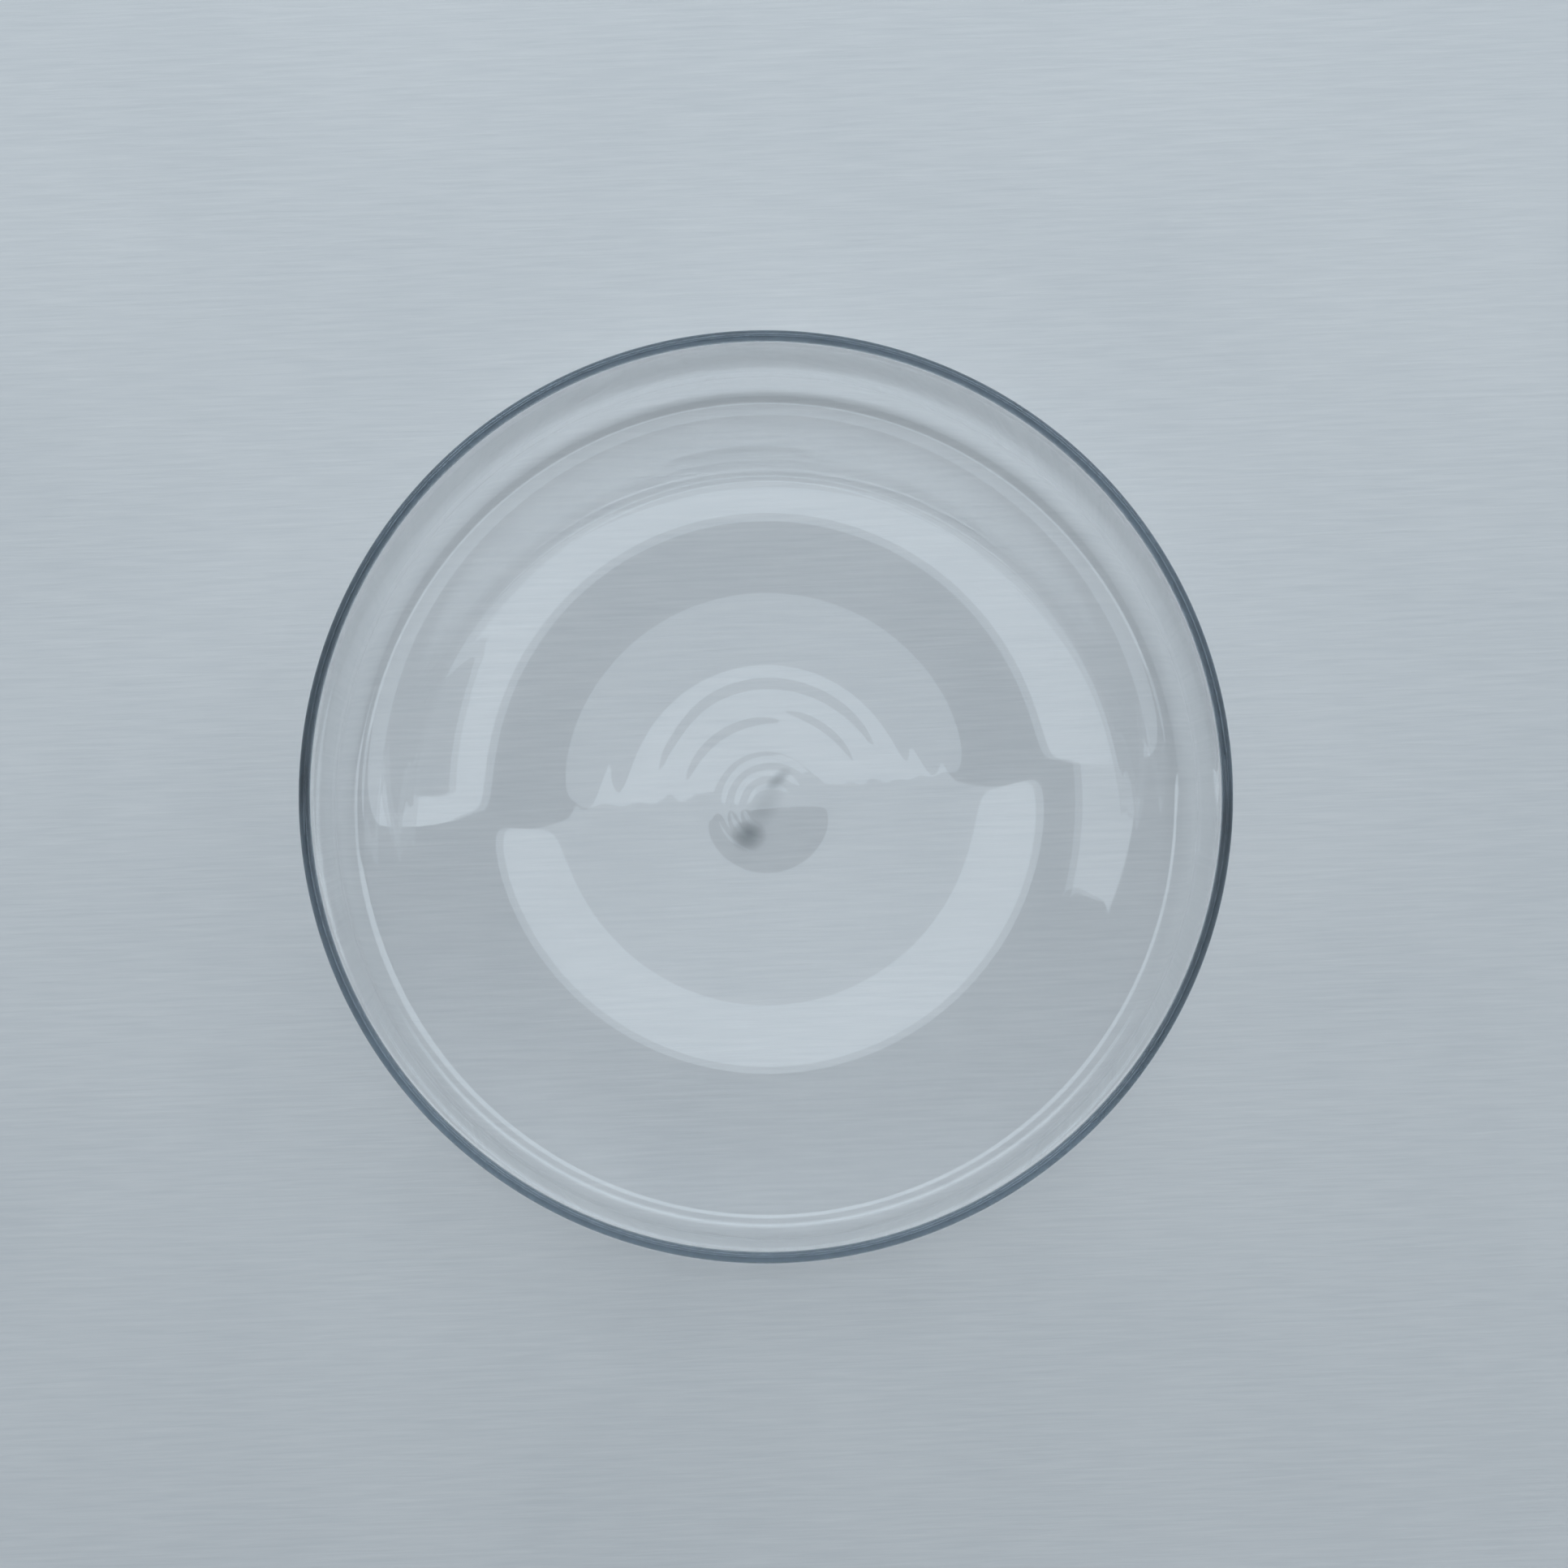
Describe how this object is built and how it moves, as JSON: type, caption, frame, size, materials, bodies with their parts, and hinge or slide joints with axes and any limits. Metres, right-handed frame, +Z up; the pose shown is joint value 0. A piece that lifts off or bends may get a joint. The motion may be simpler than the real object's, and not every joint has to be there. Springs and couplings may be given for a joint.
{
  "type": "crystallizing dish",
  "caption": "Round, flat-bottomed, straight-sided clear glass laboratory dish with a fire-polished rim, open at the top.",
  "frame": {"origin": "centre of the circle that the dish stands on, at the level of its foot ring", "axes": "+Z up along the dish's axis, out of its mouth; the dish is round about Z, so +X and +Y are any two square directions across it"},
  "size_m": [0.1904, 0.1904, 0.09],
  "materials": {
    "borosilicate_glass": "clear blown glass, smooth and fire-polished, with a faint blue-grey edge tint"
  },
  "bodies": {
    "root": {"rim_bead": "borosilicate_glass", "side_wall": "borosilicate_glass", "heel_ring": "borosilicate_glass", "base_floor": "borosilicate_glass", "centre_seal": "borosilicate_glass"}
  },
  "joints": []
}
